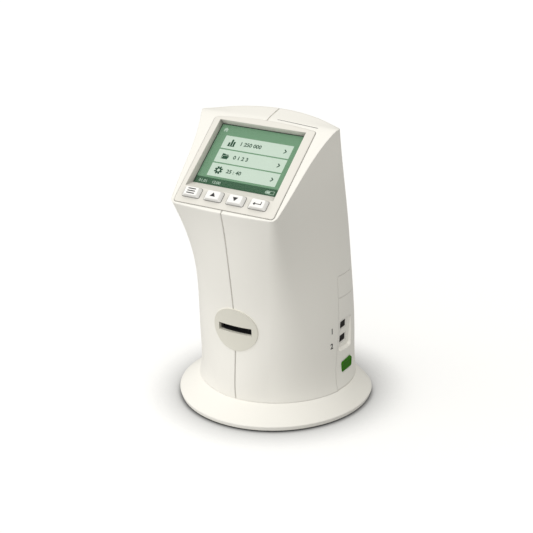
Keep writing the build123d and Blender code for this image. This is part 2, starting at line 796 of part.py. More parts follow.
def make_image_sensor():
    """Image sensor on the camera board, inside the tube."""
    return block((-4, 4), (axis_y - 4, axis_y + 4), (tube_low, tube_low + 1.2))


def make_lamp_barrel():
    """Barrel under the lamp arm that holds the condenser lens."""
    low, high = lamp_z - 14, lamp_z - snug_gap
    barrel = upright(10, low, high, 0, axis_y) - upright(8.5, low + 1.2, high + 1, 0, axis_y)
    return barrel - upright(7.0, low - 1, low + 2, 0, axis_y)


def make_condenser():
    """Condenser lens: flat below, domed above."""
    low = lamp_z - 14 + 1.2
    radius, height, sag = 8.45, 5.0, 3.0
    dome = (radius**2 + sag**2) / (2 * sag)
    lens = upright(radius, low, low + height) & Pos(0, 0, low + height - dome) * Sphere(dome)
    return Pos(0, axis_y, 0) * lens


def make_lamp_board():
    """Lamp board on top of the arm."""
    return block((-11, 11), (axis_y - 11, axis_y + 11), (lamp_z + 4, lamp_z + 4 + board_thick))


def make_lamp():
    """Light-emitting diode under the lamp board."""
    low = lamp_z + 4
    return upright(3.5, low - 1.0, low, 0, axis_y) + Pos(0, axis_y, low - 1.0) * (
        Sphere(2.2) & Box(6, 6, 6, align=(Align.CENTER, Align.CENTER, Align.MAX)))


# Main board

def make_main_board():
    """Main circuit board behind the optics frame."""
    y = frame_plate + standoff
    board = block((-board_half, board_half), (y, y + board_thick), (board_low, board_high))
    for x in (-standoff_x, standoff_x):
        for z in standoff_z:
            board -= along_y(m3_radius + screw_gap, y - 1, y + 5, x, z)
    return board


def make_standoffs():
    """Four round spacers between the optics frame and the main board."""
    posts = []
    for x in (-standoff_x, standoff_x):
        for z in standoff_z:
            post = along_y(3.0, frame_plate, frame_plate + standoff, x, z)
            posts.append((post - along_y(m3_radius + screw_gap, 0, 20, x, z)).solid())
    return Compound(posts)


def make_board_screws():
    """Screws through the main board and its spacers into the optics frame."""
    screws = []
    seat = frame_plate + standoff + board_thick
    for x in (-standoff_x, standoff_x):
        for z in standoff_z:
            screws.append((Pos(x, seat, z) * Rot(-90, 0, 0) * m3_screw(standoff + board_thick + 3)).solid())
    return Compound(screws)


def make_board_chips():
    """Processor, memory and driver packages on the main board."""
    y = frame_plate + standoff + board_thick
    places = ((-8, 78, 20, 20, 2.0), (18, 88, 10, 13, 1.4), (18, 68, 10, 13, 1.4), (-20, 46, 9, 9, 1.6),
              (-4, 46, 9, 9, 1.6), (16, 44, 12, 8, 2.4), (-24, 100, 8, 6, 1.4))
    chips = [block((x - w / 2, x + w / 2), (y, y + t), (z - h / 2, z + h / 2)).solid()
             for x, z, w, h, t in places]
    return Compound(chips)


def make_board_sockets():
    """Cable sockets along the edges of the main board, and the tall storage capacitors."""
    y = frame_plate + standoff + board_thick
    sockets = []
    for x, z, w, h in ((0, 114.5, 30, 6), (31, 60, 5, 24), (-32, 62, 5, 18), (0, 25, 22, 6)):
        body = block((x - w / 2, x + w / 2), (y, y + 6), (z - h / 2, z + h / 2))
        body -= block((x - w / 2 + 1, x + w / 2 - 1), (y + 2, y + 7), (z - h / 2 + 1, z + h / 2 - 1))
        sockets.append(body.solid())
    sockets += [along_y(4, y, y + 11, x, 33).solid() for x in (-22, -13)]
    return Compound(sockets)


# Right side

def make_side_panel(low, high):
    """Piece of the connector strip, level with the tower's side."""
    over_seam = block((0, 100), (-100, 100), (seam_z + foot_gap, 200))
    return (outer - cavity) & side_window(0, low, high) & over_seam


def make_port_panel():
    """Lower connector panel: a scooped recess for the ports, a button hole and posts for the board."""
    high = strip_split - strip_gap
    panel = make_side_panel(strip_low, high)
    floor_back = scoop_floor - 2.0
    width, height = scoop_back - scoop_front, scoop_high - scoop_low
    lean = Pos(0, (scoop_front + scoop_back) / 2, (scoop_low + scoop_high) / 2) * Rot(-strip_lean, 0, 0)
    tub = lean * block((floor_back, 63.5), (-width / 2 - 1.6, width / 2 + 2),
                       (-height / 2 - 2, height / 2 + 2))
    panel += tub & outer & side_window(0, strip_low, high)
    mouth = Plane(origin=(67, 0, 0), x_dir=(0, 1, 0), z_dir=(1, 0, 0))
    wide = RectangleRounded(width + 2.0, height + 2.0, 4.0)
    narrow = Pos(-2.2, 0) * RectangleRounded(width - 5.0, height - 2.4, 2.5)
    panel -= lean * loft([mouth * wide, mouth.offset(scoop_floor - 67) * narrow], ruled=True)
    half_width, half_height = port_hole[0] / 2, port_hole[1] / 2
    for z in port_z:
        panel -= block((floor_back - 1, 64), (port_y - half_width, port_y + half_width),
                       (z - half_height, z + half_height))
    hole = Pos(button_y, button_z) * RectangleRounded(button_size[0] + 2 * fit_gap,
                                                      button_size[1] + 2 * fit_gap, 2.3)
    side = Plane(origin=(50, 0, 0), x_dir=(0, 1, 0), z_dir=(1, 0, 0))
    panel -= extrude(side * hole, amount=30)
    for y, z in panel_posts:
        panel += along_x(2.6, port_board_x, 70, y, z) & outer
        panel -= along_x(0.9, port_board_x - 1, port_board_x + 6, y, z)
    return panel


def make_port_board():
    """Upright board that carries both ports and the power switch."""
    board = block((port_board_x - board_thick, port_board_x), (-13, 34), (26, 89))
    for y, z in panel_posts:
        board -= along_x(1.0, port_board_x - 3, port_board_x + 1, y, z)
    return board


def usb_body(z, skin):
    """Shell of one data port, hollow from its mouth, without its tongue."""
    mouth = scoop_floor - port_inset
    half_w, half_h = usb_width / 2 - skin, usb_height / 2 - skin
    start = port_board_x if skin == 0 else port_board_x + 3
    end = mouth if skin == 0 else mouth + 1
    return block((start, end), (port_y - half_w, port_y + half_w), (z - half_h, z + half_h))


def make_usb_shells():
    """Metal shells of both ports."""
    shells = [(usb_body(z, 0) - usb_body(z, usb_skin)).solid() for z in port_z]
    return Compound(shells)


def make_usb_tongues():
    """Contact tongues in both ports."""
    tongues = []
    for z in port_z:
        low = z + 0.3
        tongue = block((port_board_x + 3, scoop_floor - port_inset - 1), (port_y - 5.6, port_y + 5.6),
                       (low, low + 1.8))
        tongues.append(tongue.solid())
    return Compound(tongues)


def make_power_button():
    """Power button: a rounded cap with a dished face, a flange behind the panel and a short stem."""
    side = Plane(origin=(button_flange_x, 0, 0), x_dir=(0, 1, 0), z_dir=(1, 0, 0))
    cap = Pos(button_y, button_z) * RectangleRounded(*button_size, 2.0)
    button = extrude(side * cap, amount=button_face - button_flange_x)
    front = button.faces().sort_by(Axis.X)[-1]
    button = fillet(front.edges(), 0.8)
    dish_outer = Pos(button_y, button_z) * RectangleRounded(button_size[0] - 3.2, button_size[1] - 3.2, 1.6)
    dish_inner = Pos(button_y, button_z) * RectangleRounded(button_size[0] - 5.0, button_size[1] - 5.0, 1.2)
    face = Plane(origin=(button_face, 0, 0), x_dir=(0, 1, 0), z_dir=(1, 0, 0))
    button -= loft([face * dish_outer, face.offset(-0.7) * dish_inner], ruled=True)
    flange = Pos(button_y, button_z) * RectangleRounded(button_size[0] + 2, button_size[1] + 2, 2.0)
    button += extrude(side.offset(-1.2) * flange, amount=1.2)
    return button + along_x(plunger_radius, port_board_x + 4.5, button_flange_x - 0.6, button_y, button_z)


def make_power_switch():
    """Push switch behind the power button, with the plunger's bore."""
    body = block((port_board_x, port_board_x + 11), (button_y - 5, button_y + 5),
                 (button_z - 4.5, button_z + 4.5))
    return body - along_x(plunger_radius + bearing_gap, port_board_x + 2, 80, button_y, button_z)


def make_small_screws():
    """Small screws of one size: key board, motor and port board."""
    screw = (upright(1.6, 0, 1.2) + upright(0.8, -small_screw_length, 0)).solid()
    spots = [face_plane.location * Pos(x, key_post_s, key_board_top - board_thick) * Rot(180, 0, 0)
             for x in key_post_x]
    spots += [Pos(x, screw_y + y, motor_top + bracket_thick) for x, y in motor_screw_spots]
    spots += [Pos(port_board_x - board_thick, y, z) * Rot(0, -90, 0) for y, z in panel_posts]
    return Compound([(spot * screw).solid() for spot in spots])


# Rear inlet

def make_inlet_panel():
    """Flat rear panel, let in between the case halves."""
    plate = block((-inlet_plate[0] / 2, inlet_plate[0] / 2), (inlet_face - inlet_thick, inlet_face),
                  (inlet_z - inlet_plate[1] / 2, inlet_z + inlet_plate[1] / 2))
    plate = plate & cavity
    return plate - along_y(5.2, 60, 90, 0, inlet_z)


def make_inlet_jack():
    """Low-voltage inlet: a block behind the panel with a round nose and a deep bore."""
    back = inlet_face - inlet_thick
    jack = block((-4.6, 4.6), (back - 12, back), (inlet_z - 5.5, inlet_z + 5.5))
    jack += along_y(5.0, back, inlet_face + 0.6, 0, inlet_z)
    return jack - along_y(inlet_bore, inlet_face + 0.6 - inlet_depth, 90, 0, inlet_z)


def make_inlet_pin():
    """Centre pin of the inlet."""
    return along_y(inlet_pin, inlet_face + 0.6 - inlet_depth, inlet_face - 0.6, 0, inlet_z)


pieces = {
    "base_skirt": make_skirt(),
    "base_plate": make_base_plate(),
    "rubber_feet": make_feet(),
    "base_screws": make_base_screws(),
}
case = make_case()
pieces["left_case_shell"] = case & block((-100, -snug_gap / 2), (-150, 120), (0, 300))
pieces["right_case_shell"] = case & block((snug_gap / 2, 100), (-150, 120), (0, 300))
pieces["display_bezel"] = make_bezel()
pieces["display_window"] = make_window()
pieces["display_panel"] = make_panel()
pieces["display_tray"] = make_frame()
pieces["display_tray_screws"] = make_frame_screws()
pieces["display_ribbon"] = make_ribbon()
for name, x in zip(key_names, key_x):
    pieces[name + "_key"] = make_key(x)
pieces["key_board"] = make_key_board()
pieces["key_switches"] = make_key_switches()
pieces["slot_disc"] = make_disc()
pieces["slide_guide"] = make_slide_guide()
pieces["slide_stage"] = make_stage()
pieces["slide_rails"] = make_slide_rails()
pieces["slide_stop"] = make_slide_stop()
pieces["optics_frame"] = make_optics_frame()
pieces["optics_frame_screws"] = make_frame_foot_screws()
pieces["motor_bracket"] = make_bracket()
pieces["stage_bolts"] = make_bracket_screws()
pieces["focus_motor"] = make_motor()
pieces["motor_shaft"] = upright(lead_radius, motor_top - 7.5, shaft_top, 0, screw_y)
pieces["shaft_coupling"] = make_coupling()
pieces["lead_screw"] = upright(lead_radius, screw_low, stage_top - 0.5, 0, screw_y)
pieces["focus_carriage"] = make_carriage()
pieces["carriage_bushes"] = make_rod_bushes()
pieces["lead_nut"] = make_lead_nut()
pieces["guide_rods"] = make_guide_rods()
pieces["objective_barrel"] = make_objective()
pieces["objective_lens"] = make_objective_lens()
pieces["camera_tube"] = make_camera_tube()
pieces["camera_board"] = make_camera_board()
pieces["image_sensor"] = make_image_sensor()
pieces["lamp_barrel"] = make_lamp_barrel()
pieces["condenser_lens"] = make_condenser()
pieces["lamp_board"] = make_lamp_board()
pieces["lamp"] = make_lamp()
pieces["main_board"] = make_main_board()
pieces["board_spacers"] = make_standoffs()
pieces["main_board_screws"] = make_board_screws()
pieces["board_chips"] = make_board_chips()
pieces["board_sockets"] = make_board_sockets()
pieces["upper_side_panel"] = make_side_panel(strip_split, strip_top)
pieces["port_panel"] = make_port_panel()
pieces["port_board"] = make_port_board()
pieces["small_screws"] = make_small_screws()
pieces["port_shells"] = make_usb_shells()
pieces["port_tongues"] = make_usb_tongues()
pieces["power_button"] = make_power_button()
pieces["power_switch"] = make_power_switch()
pieces["inlet_panel"] = make_inlet_panel()
pieces["inlet_jack"] = make_inlet_jack()
pieces["inlet_pin"] = make_inlet_pin()

# The origin is on the table, under the middle of the whole object's outline
front = min(pieces["left_case_shell"].bounding_box().min.Y, -rim_front)
shift = -(front + rim_back) / 2
centring = Pos(0, shift, 0)
for name, piece in pieces.items():
    export_step(centring * piece, "parts/" + name + ".step")
print("pieces", len(pieces), "shift", shift)
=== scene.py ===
"""Looks of the automated cell counter: moulded plastic case, cream bezel, screen image, marked keys,
plated ports and a green power button, on a pale floor. All places are in millimetres until they are
put on the object."""

import json
import math

import bmesh
import bpy
from mathutils import Matrix, Vector
from mathutils.bvhtree import BVHTree


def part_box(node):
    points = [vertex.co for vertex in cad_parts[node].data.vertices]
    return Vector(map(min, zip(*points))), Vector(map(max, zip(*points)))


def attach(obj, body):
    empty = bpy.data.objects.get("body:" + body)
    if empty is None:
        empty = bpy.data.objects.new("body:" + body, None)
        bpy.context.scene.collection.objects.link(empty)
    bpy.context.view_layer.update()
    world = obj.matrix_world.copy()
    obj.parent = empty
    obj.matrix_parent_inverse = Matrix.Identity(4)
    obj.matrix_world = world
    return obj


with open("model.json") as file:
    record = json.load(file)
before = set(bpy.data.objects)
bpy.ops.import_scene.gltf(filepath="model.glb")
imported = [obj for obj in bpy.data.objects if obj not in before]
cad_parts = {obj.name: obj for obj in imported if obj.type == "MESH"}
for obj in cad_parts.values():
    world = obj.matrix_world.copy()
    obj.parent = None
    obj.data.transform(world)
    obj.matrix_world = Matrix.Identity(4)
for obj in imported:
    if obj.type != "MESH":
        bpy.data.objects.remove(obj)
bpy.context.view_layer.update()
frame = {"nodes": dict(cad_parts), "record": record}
nodes = frame["nodes"]
scene = bpy.context.scene
mm = 0.001

# How far the object was moved to stand over its origin, from where the foot's back rim now lies
rim_back = 78.0
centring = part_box("base_skirt")[1].y / mm - rim_back

# The head's slanted face
face_tilt = math.radians(39.84)
face_front = -91.66
face_low = 192.17
across = Vector((1, 0, 0))
up_slope = Vector((0, math.cos(face_tilt), math.sin(face_tilt)))
outwards = Vector((0, -math.sin(face_tilt), math.cos(face_tilt)))

# Screen image, placed across and up the slanted face
image_mid_x = -1.1
image_half = 40.1
image_low = 22.2
image_high = 82.6
image_depth = -5.49
layer = 0.012
status_top = 29.8
tile_left = -32.8
tile_right = 31.2
tile_rows = (65.9, 52.0, 38.1)
tile_half = 6.35
icon_x = -24.4
text_x = -16.9
chevron_x = 25.8
row_texts = ("1 250 000", "0 1 2 3", "25 : 40")
row_text_size = 5.0
row_text_bold = 0.13
status_text = "01.01    12:00"
status_text_x = -37.4
status_text_size = 3.7
status_text_bold = 0.05
status_s = 26.0
home_x = -35.6
home_s = 77.6
battery_x = 29.6
battery_stroke = 0.35

# Keys
key_raise = 3.5
key_mid_x = -2.0
key_pitch = 20.6
key_mid_s = 9.6
mark_raise = 0.03
menu_bar_pitch = 2.1

# Marks on the case, as y and z of the numerals and as the ends of the line on the roof
port_numerals = (("1", -17.0, 72.5), ("2", -17.5, 59.0))
port_numeral_size = 6.8
port_numeral_bold = 0.24
roof_line_start = Vector((8.1, -19.9, 280))
roof_line_end = Vector((46.8, -22.5, 280))
roof_line_width = 0.5
case_mark_lift = 0.00004

# Floor and light
bounce = 0.5
floor_white = 0.96
floor_glow = 0.12
# Painted contact shadow on the floor near the object: how far out it reaches in millimetres and how
# deep it goes
painted_shadow_reach = 56.0
painted_shadow_depth = 1.8
fill_light = 0.635
key_direction = (-0.32, -0.72, 0.60)
key_strength = 0.55
key_softness = 80
key_fill_strength = 1.16
key_fill_softness = 50

# Camera, its focal length in pixels of the square picture
camera_place = Vector((525.2, -926.8, 523.6))
camera_target = Vector((-12.6, 0.0, 111.34))
camera_roll = math.radians(0.5)
focal_pixels = 1315.0
picture_pixels = 533.0


def place(x, s, n):
    """Point of the slanted face, in metres: x across, s up the slope, n out of it."""
    origin = Vector((0, face_front + centring, face_low))
    return (origin + across * x + up_slope * s + outwards * n) * mm


def face_matrix(x=0.0, s=0.0, n=0.0):
    """Turns a drawing in millimetres, made flat on XY, onto the slanted face."""
    columns = Matrix((across, up_slope, outwards)).transposed().to_4x4()
    return Matrix.Translation(place(x, s, n)) @ columns @ Matrix.Scale(mm, 4)


# Finishes

def new_material(name):
    """Material with its node tree and shader."""
    material = bpy.data.materials.new(name)
    material.use_nodes = True
    tree = material.node_tree
    return material, tree, tree.nodes["Principled BSDF"]


def link(tree, source, target):
    tree.links.new(source, target)


def object_noise(tree, scale, detail=3.0, roughness=0.55):
    """Noise that stays on the object, scale in features per metre."""
    place_node = tree.nodes.new("ShaderNodeTexCoord")
    noise = tree.nodes.new("ShaderNodeTexNoise")
    noise.inputs["Scale"].default_value = scale
    noise.inputs["Detail"].default_value = detail
    noise.inputs["Roughness"].default_value = roughness
    link(tree, place_node.outputs["Object"], noise.inputs["Vector"])
    return noise.outputs["Fac"]


def stretch(tree, value, low, high):
    """Brings a noise value into the range from low to high."""
    spread = tree.nodes.new("ShaderNodeMapRange")
    spread.inputs["From Min"].default_value = 0.3
    spread.inputs["From Max"].default_value = 0.7
    spread.inputs["To Min"].default_value = low
    spread.inputs["To Max"].default_value = high
    link(tree, value, spread.inputs["Value"])
    return spread.outputs["Result"]


def tinted(tree, value, first, second):
    """Colour that wanders between two near shades."""
    mix = tree.nodes.new("ShaderNodeMix")
    mix.data_type = "RGBA"
    mix.inputs["A"].default_value = (*first, 1)
    mix.inputs["B"].default_value = (*second, 1)
    link(tree, value, mix.inputs["Factor"])
    return mix.outputs["Result"]


def painted_corner_shade(tree, tint, reach):
    """Painted shade: darkens a colour in corners and beside steps, out to reach in millimetres."""
    near = tree.nodes.new("ShaderNodeAmbientOcclusion")
    near.samples = 16
    near.inputs["Distance"].default_value = reach * mm
    link(tree, tint, near.inputs["Color"])
    return near.outputs["Color"]


def moulded(name, colour, roughness, grain=0.04, grain_scale=2600.0, soft_edge=0.0, gloss=0.5,
            painted_shade_reach=0.0):
    """Moulded plastic: a trace of colour drift, a spark-eroded grain, softened edges and, when given a
    reach in millimetres, painted shade that darkens the colour in corners up to that reach."""
    material, tree, shader = new_material(name)
    drift = stretch(tree, object_noise(tree, 9.0, 2.0), 0.0, 1.0)
    darker = tuple(c * 0.985 for c in colour)
    tint = tinted(tree, drift, colour, darker)
    # Painted shade in corners and beside steps, darkening the colour where shade would fall
    if painted_shade_reach:
        tint = painted_corner_shade(tree, tint, painted_shade_reach)
    link(tree, tint, shader.inputs["Base Color"])
    wear = stretch(tree, object_noise(tree, 60.0, 4.0), roughness * 0.9, roughness * 1.1)
    link(tree, wear, shader.inputs["Roughness"])
    shader.inputs["Specular IOR Level"].default_value = gloss
    bump = tree.nodes.new("ShaderNodeBump")
    bump.inputs["Strength"].default_value = grain
    bump.inputs["Distance"].default_value = 0.0002
    link(tree, object_noise(tree, grain_scale, 2.0), bump.inputs["Height"])
    if soft_edge:
        edge = tree.nodes.new("ShaderNodeBevel")
        edge.samples = 6
        edge.inputs["Radius"].default_value = soft_edge * mm
        link(tree, edge.outputs["Normal"], bump.inputs["Normal"])
    link(tree, bump.outputs["Normal"], shader.inputs["Normal"])
    return material


def machined(name, colour, roughness, line_scale=900.0, streak=(1.0, 1.0, 0.04)):
    """Metal with fine tool lines drawn out along one direction."""
    material, tree, shader = new_material(name)
    shader.inputs["Base Color"].default_value = (*colour, 1)
    shader.inputs["Metallic"].default_value = 1.0
    where = tree.nodes.new("ShaderNodeTexCoord")
    lie = tree.nodes.new("ShaderNodeMapping")
    lie.inputs["Scale"].default_value = streak
    noise = tree.nodes.new("ShaderNodeTexNoise")
    noise.inputs["Scale"].default_value = line_scale
    link(tree, where.outputs["Object"], lie.inputs["Vector"])
    link(tree, lie.outputs["Vector"], noise.inputs["Vector"])
    uneven = stretch(tree, noise.outputs["Fac"], roughness * 0.8, roughness * 1.25)
    link(tree, uneven, shader.inputs["Roughness"])
    bump = tree.nodes.new("ShaderNodeBump")
    bump.inputs["Strength"].default_value = 0.08
    bump.inputs["Distance"].default_value = 0.0001
    link(tree, noise.outputs["Fac"], bump.inputs["Height"])
    link(tree, bump.outputs["Normal"], shader.inputs["Normal"])
    return material


def lit_image(name, colour, glow=0.05, roughness=0.4):
    """Area of the screen's image: a pigment that also glows a little."""
    material, tree, shader = new_material(name)
    shader.inputs["Base Color"].default_value = (*colour, 1)
    shader.inputs["Roughness"].default_value = roughness
    shader.inputs["Specular IOR Level"].default_value = 0.1
    shader.inputs["Emission Color"].default_value = (*colour, 1)
    shader.inputs["Emission Strength"].default_value = glow
    return material


def clear_sheet(name, tint, see_through, roughness=0.05):
    """Clear sheet that lets light pass and keeps a faint gloss."""
    material, tree, shader = new_material(name)
    shader.inputs["Base Color"].default_value = (*tint, 1)
    shader.inputs["Roughness"].default_value = roughness
    shader.inputs["Alpha"].default_value = see_through
    return material


case_white = (0.900, 0.880, 0.825)
cream = (0.790, 0.765, 0.705)
disc_grey = (0.735, 0.715, 0.635)
key_white = (0.93, 0.92, 0.90)
button_green = (0.029, 0.162, 0.002)
finishes = {
    "case": moulded("case_plastic", case_white, 0.42, grain=0.05, soft_edge=1.6),
    # The bezel and key colours carry painted shade in corners, in the screen's recess and beside the
    # keys
    "bezel": moulded("bezel_plastic", cream, 0.45, grain=0.05, soft_edge=0.35, painted_shade_reach=7.0),
    "keycap": moulded("key_plastic", key_white, 0.36, grain=0.02, soft_edge=0.35, painted_shade_reach=4.0),
    "disc": moulded("disc_plastic", disc_grey, 0.45, grain=0.05, soft_edge=0.3),
    "window": clear_sheet("window_sheet", (0.9, 0.95, 0.92), 0.012),
    "screen": lit_image("panel_edge", (0.02, 0.03, 0.02), glow=0.0),
    "green": moulded("button_plastic", button_green, 0.40, grain=0.03, soft_edge=0.3, gloss=0.08),
    "rubber": moulded("foot_rubber", (0.02, 0.02, 0.02), 0.75, grain=0.2),
    "steel": machined("ground_steel", (0.62, 0.62, 0.63), 0.22),
    "zinc": machined("bright_zinc", (0.74, 0.74, 0.76), 0.28),
    "port_metal": machined("plated_sheet", (0.16, 0.155, 0.15), 0.35),
    "port_black": moulded("black_plastic", (0.012, 0.012, 0.013), 0.4),
    "board": moulded("solder_mask", (0.015, 0.13, 0.05), 0.3, grain=0.1, grain_scale=900),
    "chip": moulded("chip_package", (0.018, 0.018, 0.02), 0.5),
    "socket": moulded("socket_plastic", (0.72, 0.69, 0.6), 0.5),
    "black_metal": moulded("black_anodising", (0.02, 0.02, 0.022), 0.38, grain=0.1, gloss=0.8),
    "alloy": machined("machined_alloy", (0.72, 0.73, 0.74), 0.34),
    "brass": machined("turned_brass", (0.78, 0.60, 0.28), 0.25),
    "lens": clear_sheet("lens_sheet", (0.75, 0.85, 0.95), 0.45, 0.02),
    "lamp": clear_sheet("lamp_resin", (1.0, 0.95, 0.7), 0.6, 0.1),
    "ribbon": moulded("ribbon_sheath", (0.72, 0.70, 0.63), 0.5),
}
ink = moulded("key_ink", (0.018, 0.018, 0.020), 0.5, grain=0.0)
case_ink = moulded("case_ink", (0.016, 0.016, 0.018), 0.5, grain=0.0)
roof_ink = moulded("roof_line", (0.06, 0.06, 0.065), 0.5, grain=0.0)
image_ground = lit_image("image_ground", (0.140, 0.275, 0.165))
image_tile = lit_image("image_tile", (0.520, 0.630, 0.540))
image_bar = lit_image("image_bar", (0.030, 0.092, 0.045))
image_dark = lit_image("image_dark", (0.007, 0.058, 0.026))
image_text = lit_image("image_text", (0.022, 0.070, 0.040))
image_light = lit_image("image_light", (0.400, 0.520, 0.430))

for entry in frame["record"]["subparts"]:
    mesh = nodes[entry["node"]].data
    mesh.materials.clear()
    mesh.materials.append(finishes[entry["material_slot"]])


# Shared ways of making a piece

def finish_piece(shape, name, material, body="instrument", smooth=None):
    """Puts a bmesh into the scene as a piece that moves with a body."""
    bmesh.ops.recalc_face_normals(shape, faces=shape.faces)
    mesh = bpy.data.meshes.new(name)
    shape.to_mesh(mesh)
    shape.free()
    piece = bpy.data.objects.new(name, mesh)
    scene.collection.objects.link(piece)
    mesh.materials.append(material)
    if smooth:
        mesh.shade_smooth()
        mesh.set_sharp_from_angle(angle=math.radians(smooth))
    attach(piece, body)
    return piece


def add_card(shape, width, height, thick, matrix, corner=0.0):
    """Adds a flat card with rounded corners to a shape; sizes in millimetres."""
    made = bmesh.ops.create_cube(shape, size=1.0, matrix=Matrix.Diagonal((width, height, thick, 1)))
    verts = made["verts"]
    if corner:
        edges = {e for v in verts for e in v.link_edges
                 if abs((e.verts[0].co - e.verts[1].co).normalized().z) > 0.99}
        out = bmesh.ops.bevel(shape, geom=list(edges), offset=corner, segments=6, affect="EDGES",
                              profile=0.5, material=-1)
        verts = list({v for f in out["faces"] for v in f.verts} | {v for v in verts if v.is_valid})
    bmesh.ops.transform(shape, matrix=matrix, verts=verts)


def add_outline(shape, points, thick, matrix):
    """Adds a flat prism over a closed outline; sizes in millimetres."""
    corners = [shape.verts.new((x, y, 0)) for x, y in points]
    face = shape.faces.new(corners)
    grown = bmesh.ops.extrude_face_region(shape, geom=[face])
    top = [v for v in grown["geom"] if isinstance(v, bmesh.types.BMVert)]
    bmesh.ops.translate(shape, vec=(0, 0, thick), verts=top)
    bmesh.ops.transform(shape, matrix=matrix, verts=corners + top)


def add_words(shape, text, size, matrix, thick=0.02, bold=0.0):
    """Adds numerals as a mesh, their left end at the matrix's origin."""
    curve = bpy.data.curves.new("numerals", "FONT")
    curve.body = text
    curve.size = size
    curve.extrude = thick / 2
    curve.offset = bold
    curve.resolution_u = 3
    curve.align_y = "CENTER"
    holder = bpy.data.objects.new("numerals", curve)
    scene.collection.objects.link(holder)
    bpy.context.view_layer.update()
    mesh = bpy.data.meshes.new_from_object(holder.evaluated_get(bpy.context.evaluated_depsgraph_get()))
    bpy.data.objects.remove(holder)
    bpy.data.curves.remove(curve)
    mesh.transform(matrix)
    shape.from_mesh(mesh)
    bpy.data.meshes.remove(mesh)


def image_matrix(x, s, layers):
    """Place in the screen's image, that many thin layers above the display panel."""
    return face_matrix(x, s, image_depth + layers * layer)


# Screen image, behind the window

def make_screen_image():
    """Green ground, dark status bar, three rows with an icon, numerals and a chevron."""
    ground = bmesh.new()
    mid_s = (image_low + image_high) / 2
    add_card(ground, 2 * image_half, image_high - image_low, layer,
             image_matrix(image_mid_x, mid_s, 0.5))
    finish_piece(ground, "screen_ground", image_ground)

    tiles = bmesh.new()
    mid = (tile_left + tile_right) / 2
    for s in tile_rows:
        add_card(tiles, tile_right - tile_left, 2 * tile_half, layer, image_matrix(mid, s, 1.5),
                 corner=0.35)
    finish_piece(tiles, "screen_rows", image_tile)

    bar = bmesh.new()
    add_card(bar, 2 * image_half, status_top - image_low, layer,
             image_matrix(image_mid_x, (status_top + image_low) / 2, 1.5))
    finish_piece(bar, "screen_status_bar", image_bar)

    dark = bmesh.new()
    add_bars_icon(dark, icon_x, tile_rows[0])
    add_folder_icon(dark, icon_x, tile_rows[1])
    add_gear_icon(dark, icon_x, tile_rows[2])
    for s in tile_rows:
        add_chevron(dark, chevron_x, s)
    finish_piece(dark, "screen_dark_marks", image_dark)

    words = bmesh.new()
    for s, text in zip(tile_rows, row_texts):
        add_words(words, text, row_text_size, image_matrix(text_x, s, 3.5), bold=row_text_bold)
    finish_piece(words, "screen_numerals", image_text)

    light = bmesh.new()
    add_house_icon(light, home_x, home_s)
    add_words(light, status_text, status_text_size, image_matrix(status_text_x, status_s, 3.5),
              bold=status_text_bold)
    add_battery(light, battery_x, status_s)
    finish_piece(light, "screen_light_marks", image_light)


def add_bars_icon(shape, x, s):
    """Three upright bars of different height on a base line."""
    for step, height in ((-2.2, 3.4), (0.0, 6.6), (2.2, 4.6)):
        middle = image_matrix(x + step, s - 3.3 + height / 2, 2.5)
        add_card(shape, 1.7, height, layer, middle, corner=0.25)
    add_card(shape, 6.9, 0.6, layer, image_matrix(x, s - 3.5, 2.5))


def add_folder_icon(shape, x, s):
    """Open folder: its back with a tab, and its leaning front."""
    back = ((-3.4, -2.5), (-3.4, 2.6), (-1.0, 2.6), (-0.4, 1.9), (2.5, 1.9), (2.5, 0.9), (-2.4, 0.9),
            (-3.2, -2.5))
    front = ((-3.0, -2.6), (2.5, -2.6), (3.5, 0.6), (-2.1, 0.6))
    for outline in (back, front):
        add_outline(shape, outline, layer, image_matrix(x, s, 2.0))


def add_gear_icon(shape, x, s):
    """Gear: a flat ring with eight teeth."""
    inner, outer, teeth = 1.35, 2.75, 8
    ring = bmesh.ops.create_circle(shape, segments=32, radius=outer, cap_ends=True)["verts"]
    face = ring[0].link_faces[0]
    bmesh.ops.inset_region(shape, faces=[face], thickness=outer - inner, use_boundary=True)
    bmesh.ops.delete(shape, geom=[face], context="FACES_ONLY")
    verts = list({v for f in {f for v in ring for f in v.link_faces} for v in f.verts})
    bmesh.ops.transform(shape, matrix=image_matrix(x, s, 3.0), verts=verts)
    for i in range(teeth):
        turn = Matrix.Rotation(math.radians(360 / teeth * (i + 0.5)), 4, "Z")
        tooth = image_matrix(x, s, 2.5) @ turn @ Matrix.Translation((outer + 0.35, 0, 0))
        add_card(shape, 1.5, 1.5, layer, tooth, corner=0.2)


def add_chevron(shape, x, s):
    """Angle of two arms that points to the right."""
    for side in (1, -1):
        turn = Matrix.Rotation(math.radians(-45 * side), 4, "Z")
        arm = image_matrix(x, s + side * 0.8, 2.5) @ turn
        add_card(shape, 2.9, 0.95, layer, arm)


def add_house_icon(shape, x, s):
    """House: a gable over walls with a door."""
    add_outline(shape, ((-2.3, 0.1), (2.3, 0.1), (0, 2.2)), layer, image_matrix(x, s, 2.0))
    walls = ((-1.6, 0.1), (-1.6, -2.0), (-0.5, -2.0), (-0.5, -0.7), (0.5, -0.7), (0.5, -2.0),
             (1.6, -2.0), (1.6, 0.1))
    add_outline(shape, walls, layer, image_matrix(x, s, 2.0))


def add_battery(shape, x, s):
    """Battery: a frame, the charge in it and its pole."""
    for step in (1.4, -1.4):
        add_card(shape, 7.4, battery_stroke, layer, image_matrix(x, s + step, 3.0))
    for step in (-3.6, 3.6):
        add_card(shape, battery_stroke, 3.0, layer, image_matrix(x + step, s, 3.0))
    add_card(shape, 3.2, 1.9, layer, image_matrix(x - 1.6, s, 3.0))
    add_card(shape, 0.7, 1.4, layer, image_matrix(x - 4.1, s, 3.0))


# Marks on the keys

